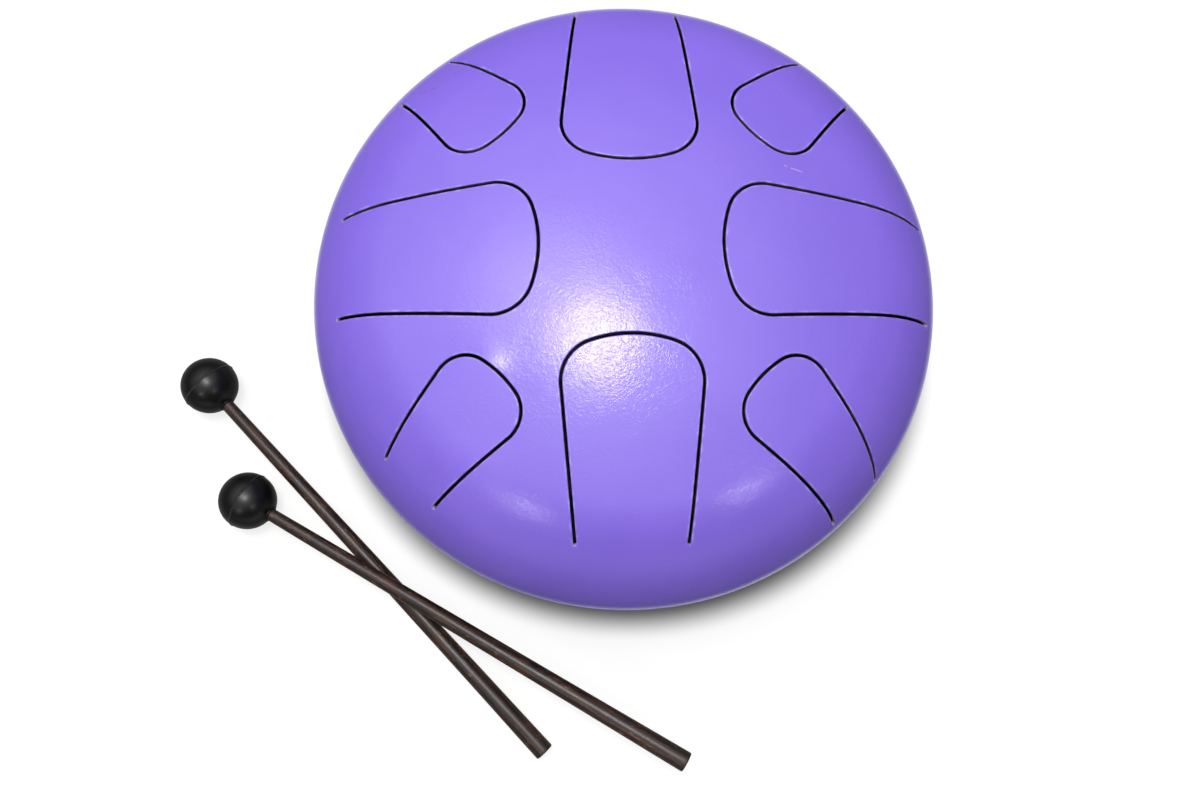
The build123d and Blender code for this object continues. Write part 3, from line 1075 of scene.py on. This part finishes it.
def makeRubber(name, settings):
    material, tree, shader, place = newMaterial(
        name, {"IOR": 1.5, "Specular IOR Level": settings["shine"],
               "Coat Roughness": rubberFinish["coatRoughness"], "Coat IOR": 1.5}
    )
    inputs = {"Vector": place, "Grain": rubberFinish["speckGrain"], "Cover": settings["cover"]}
    specks = placed(tree, speckle, inputs)
    film = patches(tree, place, *rubberFinish["film"])
    dusty = maths(tree, "MAXIMUM", maths(tree, "MULTIPLY", specks, rubberFinish["speckShare"]), film)
    colour = mixColour(tree, dusty, settings["colour"], settings["dust"])
    # Lighter seam line: partly rubbed flash, partly a painted highlight on the ridge.
    rubbed = patches(tree, place, *rubberFinish["seamRubbedAndSheen"])
    seam = maths(tree, "MULTIPLY", attributeValue(tree, "seam"), rubbed)
    low, high, fade = rubberFinish["coatFade"]
    feed(tree, shader, {
        "Base Color": mixColour(tree, seam, colour, rubberFinish["seam"]),
        "Roughness": patches(tree, place, *settings["rough"]),
        "Coat Weight": dulled(tree, settings["coat"], low, high, fade * settings["coat"]),
        "Normal": peeled(tree, place, settings["grain"], settings["height"]),
    })
    return material


zincFinish = {
    "shader": {"Metallic": 1.0},
    "colour": rgb(0.66, 0.66, 0.63),
    "dull": rgb(0.42, 0.42, 0.40),
    "clouds": ((700.0, 3.0), (0.35, 0.7)),
    "rough": (0.28, 0.48),
    "grain": 2600.0,
    "grainHeight": 0.000006,
}


def makeZinc(settings):
    material, tree, shader, place = newMaterial("zincSteel", settings["shader"])
    cloud = patches(tree, place, *settings["clouds"])
    feed(tree, shader, {
        "Base Color": mixColour(tree, cloud, settings["colour"], settings["dull"]),
        "Roughness": rampUp(tree, cloud, 0.0, 1.0, *settings["rough"]),
        "Normal": peeled(tree, place, settings["grain"], settings["grainHeight"]),
    })
    return material


woodFinish = {
    "shader": {"IOR": 1.5, "Specular IOR Level": 0.10, "Coat Roughness": 0.36, "Coat IOR": 1.5},
    "dark": rgb(0.0105, 0.0052, 0.0038),
    "brown": rgb(0.0600, 0.0285, 0.0180),
    "fleck": rgb(0.3000, 0.1350, 0.0650),
    "fleckShare": 0.85,
    "fleckPatches": ((0.16, 2.0), (0.4, 0.62)),
    "stretch": (1.0, 1.0, 0.10),  # the grain runs along the stick
    # Noises by scale, detail, roughness and distortion, and how each is drawn out.
    "bands": (0.75, 4.0, 0.62, 0.4),
    "streaks": (2.6, 3.0, 0.55, 0.2),
    "pores": (6.5, 3.0, 0.6),
    "brownBands": (0.42, 0.66),
    "fleckStreaks": (0.60, 0.69),
    "rough": (0.3, 0.7, 0.45, 0.60),
    "varnish": (0.36, 0.60, 0.92, 0.62),
    "varnishFade": (0.10, 0.45, -0.80),
    "reliefHeight": 0.00005,
}


def makeWood(settings):
    material, tree, shader, _ = newMaterial("darkWood", settings["shader"])
    grain = attributeValue(tree, "grain", "Vector")
    drawn = vectorMaths(tree, "MULTIPLY", grain, settings["stretch"])
    bands, streaks, pores = (noise(tree, drawn, *settings[key]) for key in ("bands", "streaks", "pores"))
    brown = rampUp(tree, bands, *settings["brownBands"])
    colour = mixColour(tree, brown, settings["dark"], settings["brown"])
    flecks = rampUp(tree, streaks, *settings["fleckStreaks"])
    flecks = maths(tree, "MULTIPLY", flecks, patches(tree, grain, *settings["fleckPatches"]))
    flecks = maths(tree, "MULTIPLY", flecks, settings["fleckShare"])
    varnish = rampUp(tree, bands, *settings["varnish"])
    relief = maths(tree, "MULTIPLY_ADD", bands, 1.5, pores)
    feed(tree, shader, {
        "Base Color": mixColour(tree, flecks, colour, settings["fleck"]),
        "Roughness": rampUp(tree, pores, *settings["rough"]),
        "Coat Weight": dulled(tree, varnish, *settings["varnishFade"]),
        "Normal": bumped(tree, relief, settings["reliefHeight"]),
    })
    return material


footRubber = makeRubber("footRubber", rubberFinish["foot"])
ballRubber = makeRubber("ballRubber", rubberFinish["ball"])
zincSteel = makeZinc(zincFinish)
darkWood = makeWood(woodFinish)
print("rubber, zinc and wood made")


# Feet with their washers and screws, made once and set round the port

foot = {
    "diameter": 20.0,
    "seatDiameter": 24.0,
    "edgeRound": 1.5,
    "taperHeight": 6.0,
    "shoulderRound": 4.0,
    "counterbore": 10.0,
    "counterboreDepth": 5.0,
    "seatClearance": 0.05,
    "grooveRadius": 7.0,
    "grooveWidth": 1.0,
    "grooveDepth": 0.35,
    "lipRound": 0.6,
    "segments": 72,
}
washer = {"diameter": 9.0, "thickness": 0.8, "edgeRound": 0.12, "segments": 48}
screw = {
    "diameter": 4.0,
    "headDiameter": 7.6,
    "headHeight": 2.4,
    "headRound": 0.55,  # share of the head's height
    "recessLength": 4.2,
    "recessWidth": 1.0,
    "recessDepth": 1.2,
    "recessFloor": 0.55,  # size of the recess at its floor, as a share of its mouth
    "pitch": 0.9,
    "threadDepth": 0.3,
    "pointLength": 2.0,
    "reach": 4.0,  # beyond the inside of the bowl
    "segments": 48,
}


def aroundTree():
    # Sets a piece at even angles round the drum's axis, facing outwards.
    tree, given, gives = newTree(
        "aroundThePort", "GeometryNodeTree",
        ("Piece", "Count", "Circle Radius", "Start Angle", "Finish"), ("Pieces",),
    )
    number = tree.nodes.new("GeometryNodeInputIndex").outputs[0]
    step = maths(tree, "DIVIDE", 2 * math.pi, given["Count"])
    angle = maths(tree, "MULTIPLY_ADD", number, step, given["Start Angle"])
    place = scaled(tree, spokeAt(tree, angle), given["Circle Radius"])
    points = firstOut(tree, "GeometryNodePoints", {"Count": given["Count"], "Position": place})
    copies = firstOut(tree, "GeometryNodeInstanceOnPoints", {
        "Points": points, "Instance": given["Piece"], "Rotation": vectorFrom(tree, 0.0, 0.0, angle),
    })
    tree.links.new(realized(tree, copies, given["Finish"]), gives["Pieces"])
    return tree


aroundThePort = aroundTree()


def setRoundPort(name, mesh, finish, slotName, *nodes):
    movePoints(mesh, lambda points: points * toMetres)
    obj = newObject(name, mesh)
    plainMesh(obj, aroundThePort, {
        "Count": bottom["footCount"], "Circle Radius": bottom["footCircle"] * toMetres,
        "Start Angle": math.radians(bottom["footStart"]), "Finish": finish,
    })
    finishPiece(obj, "drum", slotName, *nodes)


def makeFoot(settings):
    inner, outer, seat = (settings[key] / 2 for key in ("counterbore", "diameter", "seatDiameter"))
    hole, segments = bottom["screwHole"] / 2, settings["segments"]
    taper, lip = settings["taperHeight"], settings["lipRound"]
    tall = equatorHeight  # above the bowl, so that the seat trims it
    groove, width, deep = settings["grooveRadius"], settings["grooveWidth"] / 2, settings["grooveDepth"]
    profile = [(inner, 0.0), (groove - width, 0.0), (groove - width / 2, deep), (groove + width / 2, deep),
               (groove + width, 0.0)]
    profile += roundedCorner((outer, 0.0), (inner, 0.0), (seat, taper), settings["edgeRound"], 6)
    profile += [(seat + (outer - seat) * share, taper * (1 - share)) for share in (0.66, 0.33)]
    profile += roundedCorner((seat, taper), (outer, 0.0), (seat, tall), settings["shoulderRound"], 5)
    trimmed = [(seat, lip), (seat - lip * 0.3, lip * 0.3), (seat - lip, 0.0)]
    trimmed += [(seat + (hole - seat) * k / 6, 0.0) for k in range(1, 7)]
    first = len(profile)
    profile += [(radius, tall - below) for radius, below in trimmed]
    profile += [(hole, settings["counterboreDepth"]), (inner, settings["counterboreDepth"])]
    mesh = turnedMesh("rubberFeet", profile, segments, closed=True)
    rows = slice(first * segments, (first + len(trimmed)) * segments)

    def seatOnBowl(points):
        reach = np.hypot(points[rows, 0] + bottom["footCircle"], points[rows, 1])
        below = tall - points[rows, 2]
        points[rows, 2] = equatorHeight - bowlHeight(reach) - settings["seatClearance"] - below
        return points

    movePoints(mesh, seatOnBowl)
    nodes = [f"foot_{k + 1}" for k in range(bottom["footCount"])]
    setRoundPort("rubberFeet", mesh, footRubber, "foot_rubber", *nodes)


def makeWasher(settings):
    inner, outer = bottom["screwHole"] / 2, settings["diameter"] / 2
    top = foot["counterboreDepth"]
    low, soft = top - settings["thickness"], settings["edgeRound"]
    profile = [(inner, low), *roundedCorner((outer, low), (inner, low), (outer, top), soft, 3)]
    profile += [*roundedCorner((outer, top), (outer, low), (inner, top), soft, 3), (inner, top)]
    mesh = turnedMesh("footWashers", profile, settings["segments"], closed=True)
    setRoundPort("footWashers", mesh, zincSteel, "zinc_steel", "foot_washers")


def crossRecess(settings, low):
    # A cross that narrows as it goes in.
    long, wide, narrow = settings["recessLength"] / 2, settings["recessWidth"] / 2, settings["recessFloor"]
    arms = []
    for quarter in range(4):
        c, s = math.cos(quarter * math.pi / 2), math.sin(quarter * math.pi / 2)
        arms += [(c * x - s * y, s * x + c * y) for x, y in ((long, -wide), (long, wide), (wide, wide))]
    mouth = [(x, y, low - wide) for x, y in arms]
    floor = [(x * narrow, y * narrow, low + settings["recessDepth"]) for x, y in arms]
    count = len(arms)
    faces = [tuple(reversed(range(count))), tuple(range(count, 2 * count))]
    faces += [(i, (i + 1) % count, count + (i + 1) % count, count + i) for i in range(count)]
    return newMesh("screwRecess", mouth + floor, faces)


def makeScrew(settings):
    top = foot["counterboreDepth"] - washer["thickness"]
    low = top - settings["headHeight"]
    head, shank = settings["headDiameter"] / 2, settings["diameter"] / 2
    pitch, root = settings["pitch"], shank - settings["threadDepth"]
    seatHeight = equatorHeight - float(bowlHeight(bottom["footCircle"]))
    end = seatHeight + bowl["wall"] + settings["reach"]
    point = end - settings["pointLength"]
    headRound = settings["headHeight"] * settings["headRound"]
    profile = [(0.0, low), (head / 2, low)]
    profile += roundedCorner((head, low), (0.0, low), (head, top), headRound, 6)
    height = top + pitch
    profile += [(head, top), (shank, top), (shank, height)]
    while height + pitch < point:
        profile += [(root, height + pitch / 2), (shank, height + pitch)]
        height += pitch
    profile += [(root, point), (0.0, end)]
    obj = newObject("screwBlank", turnedMesh("footScrews", profile, settings["segments"]))
    cutter = newObject("screwRecess", crossRecess(settings, low))
    modifier = obj.modifiers.new("recess", "BOOLEAN")
    modifier.object = cutter
    modifier.operation = "DIFFERENCE"
    modifier.solver = "EXACT"
    mesh = evaluatedMesh(obj)
    for spare in (obj, cutter):
        bpy.data.objects.remove(spare)
    mesh.set_sharp_from_angle(angle=math.radians(sharpAngle))
    setRoundPort("footScrews", mesh, zincSteel, "zinc_steel", "foot_screws")


makeFoot(foot)
makeWasher(washer)
makeScrew(screw)
print("feet, washers and screws set")


# Mallets: a rubber ball on a tapered stick, lying crossed beside the drum

mallet = {
    "ballDiameter": 25.4,
    "seamHeight": 0.30,
    "seamWidth": 0.34,
    "seamUneven": 0.35,
    "boreLip": 0.45,
    "lipSpan": 0.99,
    "lipRise": 0.1,
    "lipSteps": 8,
    "boreEnd": -3.5,
    "boreClearance": 0.05,
    "stickStart": -3.0,
    "tipDiameter": 5.7,
    "buttDiameter": 8.6,
    "reach": 224.0,  # ball centre to butt
    "buttRound": 0.7,
    "stickUneven": 0.006,
    "trueLength": 10.0,  # over which a stick becomes uneven outside its ball
    "stickStep": 2.0,
    "stickSegments": 40,
    "ballSegments": 112,
    "restHeight": 13.05,
    "stickGap": 0.6,
    "grainShift": (3.0, 0.0, 40.0),  # for each count of the seed, so that the sticks' grain differs
}
places = {
    "lower": {"standoff": 23.5, "sideAngle": -136.5, "headOffset": 113.7, "seed": 11},
    "upper": {"standoff": 21.2, "sideAngle": -120.3, "headOffset": 106.3, "seed": 23},
}


def stickRadius(reach):
    tip, butt = mallet["tipDiameter"] / 2, mallet["buttDiameter"] / 2
    start = mallet["ballDiameter"] / 2
    return tip + (butt - tip) * max(0.0, (reach - start) / (mallet["reach"] - start))


def stickMesh(name, seed):
    steps = round((mallet["reach"] - mallet["stickStart"]) / mallet["stickStep"])
    heights = np.linspace(mallet["stickStart"], mallet["reach"], steps + 1)[:-1]
    butt, end, soft = mallet["buttDiameter"] / 2, mallet["reach"], mallet["buttRound"]
    profile = [(0.0, mallet["stickStart"])]
    profile += [(stickRadius(h), float(h)) for h in heights]
    profile += roundedCorner((butt, end), (butt, 0.0), (0.0, end), soft, 5)
    profile += [(butt * 0.5, end), (0.0, end)]
    mesh = turnedMesh(name, profile, mallet["stickSegments"])
    draw = np.random.default_rng(seed)
    waves = [(draw.uniform(0.02, 0.09), draw.integers(0, 4), draw.uniform(0, 6.28), draw.uniform(0, 6.28))
             for k in range(6)]

    def roughTurn(points):
        # Slightly uneven round, as hand-dressed wood is, but true where it fits the ball.
        angle = np.arctan2(points[:, 1], points[:, 0])
        swell = sum(
            np.sin(points[:, 2] * pace + a) * np.cos(angle * lobes + b) for pace, lobes, a, b in waves
        )
        free = np.clip((points[:, 2] - mallet["ballDiameter"] / 2) / mallet["trueLength"], 0, 1)
        points[:, :2] *= (1 + mallet["stickUneven"] * swell * free)[:, None]
        return points

    movePoints(mesh, roughTurn)
    return mesh


def seamRidge(heights):
    # One on the ball's mould seam, falling off at both sides.
    return np.exp(-(heights / mallet["seamWidth"]) ** 2)


def ballMesh(name, seed):
    radius, lip, span = mallet["ballDiameter"] / 2, mallet["boreLip"], mallet["lipSpan"]
    steps = mallet["lipSteps"]
    bore = mallet["tipDiameter"] / 2 + mallet["boreClearance"]
    mouth = math.sqrt(radius ** 2 - (bore + span) ** 2)
    seam = [k * mallet["seamWidth"] / 5 for k in range(-9, 10)]
    below = [-radius * math.cos(math.radians(a)) for a in range(0, 87, 3)]
    above = [radius * math.sin(math.radians(a)) for a in range(5, 90, 3)]
    profile = [(0.0, -radius)]
    for height in below[1:] + seam + [h for h in above if h < mouth - 0.2] + [mouth]:
        proud = mallet["seamHeight"] * float(seamRidge(height))
        profile.append((math.sqrt(radius ** 2 - height ** 2) + proud, height))
    for share in np.arange(1, steps + 1) / steps:
        a = math.pi * share
        outward = bore + span / 2 * (1 + math.cos(a))
        profile.append((outward, mouth + lip * math.sin(a) + mallet["lipRise"] * share))
    profile += [(bore, h) for h in np.linspace(mouth - 1.0, mallet["boreEnd"], 4)]
    profile.append((0.0, mallet["boreEnd"]))
    mesh = turnedMesh(name, profile, mallet["ballSegments"])
    draw = np.random.default_rng(seed)
    waves = [(draw.integers(2, 23), draw.uniform(0, 6.28)) for k in range(7)]

    def unevenFlash(points):
        # The mould's flash line is trimmed unevenly.
        angle = np.arctan2(points[:, 1], points[:, 0])
        near = seamRidge(points[:, 2]) * (np.hypot(points[:, 0], points[:, 1]) > radius)
        change = sum(np.sin(angle * lobes + shift) for lobes, shift in waves) / len(waves)
        share = mallet["seamUneven"] * mallet["seamHeight"] / radius
        points[:, :2] *= (1 + share * change * near)[:, None]
        return points

    movePoints(mesh, unevenFlash)
    return mesh


def stickLine(place):
    a = math.radians(place["sideAngle"])
    side = Vector((math.cos(a), math.sin(a)))
    heading = Vector((-side.y, side.x))
    return side * (drumRadius + place["standoff"]) - heading * place["headOffset"], heading


def restingSlopes():
    # The lower stick rests on its ball and butt, the upper one on its ball and the lower stick.
    lower, lowerHeading = stickLine(places["lower"])
    upper, upperHeading = stickLine(places["upper"])
    between = upper - lower
    sine = lowerHeading.cross(upperHeading)
    lowerCross, upperCross = between.cross(upperHeading) / sine, between.cross(lowerHeading) / sine
    lowerSlope = (mallet["buttDiameter"] / 2 - mallet["restHeight"]) / mallet["reach"]
    stacked = stickRadius(lowerCross) + stickRadius(upperCross) + mallet["stickGap"]
    return {"lower": lowerSlope, "upper": (lowerSlope * lowerCross + stacked) / upperCross}


def layMallet(which, slope):
    centre, heading = stickLine(places[which])
    along = Vector((heading.x, heading.y, slope)).normalized()
    across = Vector((heading.y, -heading.x, 0.0))
    turn = np.array((across, along.cross(across), along))
    start = np.array((centre.x, centre.y, mallet["restHeight"]))
    seed = places[which]["seed"]

    def lay(name, mesh, finish, slotName, node):
        movePoints(mesh, lambda points: (points @ turn + start) * toMetres)
        mesh.materials.append(finish)
        finishPiece(newObject(name, mesh), which + "_mallet", slotName, node)

    stick = stickMesh(which + "Stick", seed)
    shifted = meshPoints(stick) + seed * np.array(mallet["grainShift"])
    setAttribute(stick, "grain", "FLOAT_VECTOR", shifted.ravel())
    ball = ballMesh(which + "Ball", seed)
    setAttribute(ball, "seam", "FLOAT", seamRidge(meshPoints(ball)[:, 2]))
    lay(which + "Stick", stick, darkWood, "dark_wood", which + "_mallet_stick")
    lay(which + "Ball", ball, ballRubber, "ball_rubber", which + "_mallet_head")


for which, slope in restingSlopes().items():
    layMallet(which, slope)
print("mallets laid")


# Camera at the photograph's angle

cameraSetup = {
    "place": (-21.62, -155.83, 527.47),
    "right": (0.9997, -0.0061, 0.0235),
    "back": (-0.0243, -0.2412, 0.9702),
    "lens": 34.56,
    "sensor": 36.0,
    "clip": (0.01, 50.0),
}


def addCamera(settings):
    data = bpy.data.cameras.new("photoCamera")
    data.lens = settings["lens"]
    data.sensor_width = settings["sensor"]
    data.clip_start, data.clip_end = settings["clip"]
    camera = newObject("photoCamera", data)
    back = Vector(settings["back"]).normalized()
    up = back.cross(Vector(settings["right"])).normalized()
    turn = Matrix((up.cross(back), up, back)).transposed().to_4x4()
    camera.matrix_world = Matrix.Translation(Vector(settings["place"]) * toMetres) @ turn
    bpy.context.scene.camera = camera


# Floor and light

studio = {
    "white": rgb(1.0, 1.0, 1.0),
    "floorSize": 8.0,
    "floorLevel": -0.00005,  # just under the feet
    "floorColour": rgb(0.24, 0.24, 0.232),
    "floorGlow": 0.765,
    # Painted shadow round the drum: the floor's glow fades out over an ellipse with this centre, shape and
    # edge.
    "paintedShadowCentre": (0.0046, 0.0, 0.0),
    "paintedShadowShape": (0.925, 1.0, 1.0),
    "paintedShadowEdge": (0.1214, 0.1370),  # painted shadow: the floor's glow fades out round the drum, shaped like the drum's shadow
    "glowRise": (0.5, 1.2),  # far from the drum the floor turns white
    "skyAbove": 1.00,
    "skyCentre": (-0.19, 0.24, 0.952),  # the bright part of the sky lies over the back of the drum
    "skyLow": 0.05,
    "skyEdge": (0.35, 0.85),
    # Lamps by what they aim at, with place, size and power: a small strong one overhead inside a wide weak
    # one, and weak fills at the front left and right.
    "lamps": {
        "overhead": ((-0.015, -0.032, 0.136),
                     (((-0.098, 0.000, 1.49), 0.40, 10.4), ((-0.38, 0.30, 1.45), 0.70, 3.2))),
        "fill": ((0.0, -0.09, 0.115),
                 (((-0.694, -1.236, 1.03), 0.16, 2.0), ((0.804, -0.968, 1.22), 0.16, 2.0))),
    },
}


def addFloor(settings):
    half = settings["floorSize"] / 2
    corners = [(x * half, y * half, settings["floorLevel"]) for x, y in ((-1, -1), (1, -1), (1, 1), (-1, 1))]
    mesh = newMesh("floor", corners, [(0, 1, 2, 3)])
    floor = newObject("floor", mesh)
    material = bpy.data.materials.new("paleFloor")
    material.use_nodes = True
    tree = material.node_tree
    tree.nodes.clear()
    diffuse = firstOut(tree, "ShaderNodeBsdfDiffuse", {"Color": settings["floorColour"]})
    path = tree.nodes.new("ShaderNodeLightPath").outputs
    seen = maths(tree, "MAXIMUM", path["Is Camera Ray"], path["Is Glossy Ray"])
    seen = maths(tree, "MAXIMUM", seen, path["Is Transmission Ray"])
    place = tree.nodes.new("ShaderNodeTexCoord").outputs["Object"]
    # Painted shadow: the glow seen by the camera and in reflections fades out in an ellipse round the drum.
    away = vectorMaths(tree, "SUBTRACT", place, settings["paintedShadowCentre"])
    away = vectorMaths(tree, "LENGTH", vectorMaths(tree, "MULTIPLY", away, settings["paintedShadowShape"]))
    seen = maths(tree, "MULTIPLY", seen, rampUp(tree, away, *settings["paintedShadowEdge"]))
    strength = rampUp(tree, away, *settings["glowRise"], settings["floorGlow"], 1.0)
    strength = maths(tree, "MULTIPLY", seen, strength)
    glow = firstOut(tree, "ShaderNodeEmission", {"Color": settings["white"], "Strength": strength})
    both = firstOut(tree, "ShaderNodeAddShader", (diffuse, glow))
    clear = tree.nodes.new("ShaderNodeBsdfTransparent").outputs[0]
    behind = tree.nodes.new("ShaderNodeNewGeometry").outputs["Backfacing"]
    shown = firstOut(tree, "ShaderNodeMixShader", (behind, both, clear))
    nodeIn(tree, "ShaderNodeOutputMaterial", (shown,))
    mesh.materials.append(material)


def addLamp(name, aim, place, size, power):
    data = bpy.data.lights.new(name, "AREA")
    data.shape = "DISK"
    data.size = size
    data.energy = power
    lamp = newObject(name, data)
    place = Vector(place)
    turn = (place - Vector(aim)).to_track_quat("Z", "Y")
    lamp.matrix_world = Matrix.Translation(place) @ turn.to_matrix().to_4x4()


def addLight(settings):
    for kind, (aim, lamps) in settings["lamps"].items():
        for index, lamp in enumerate(lamps):
            addLamp(f"{kind}{index + 1}", aim, *lamp)
    world = bpy.data.worlds.new("studioSky")
    world.use_nodes = True
    bpy.context.scene.world = world
    tree = world.node_tree
    tree.nodes.clear()
    towards = tree.nodes.new("ShaderNodeTexCoord").outputs["Generated"]
    near = vectorMaths(tree, "DOT_PRODUCT", towards, settings["skyCentre"])
    strength = rampUp(tree, near, *settings["skyEdge"], settings["skyLow"], settings["skyAbove"])
    path = tree.nodes.new("ShaderNodeLightPath").outputs
    strength = maths(tree, "MAXIMUM", strength, path["Is Camera Ray"])
    sky = firstOut(tree, "ShaderNodeBackground", {"Color": settings["white"], "Strength": strength})
    nodeIn(tree, "ShaderNodeOutputWorld", (sky,))
    bpy.context.scene.view_settings.view_transform = "Standard"


addCamera(cameraSetup)
addFloor(studio)
addLight(studio)
print("camera, floor and light set")
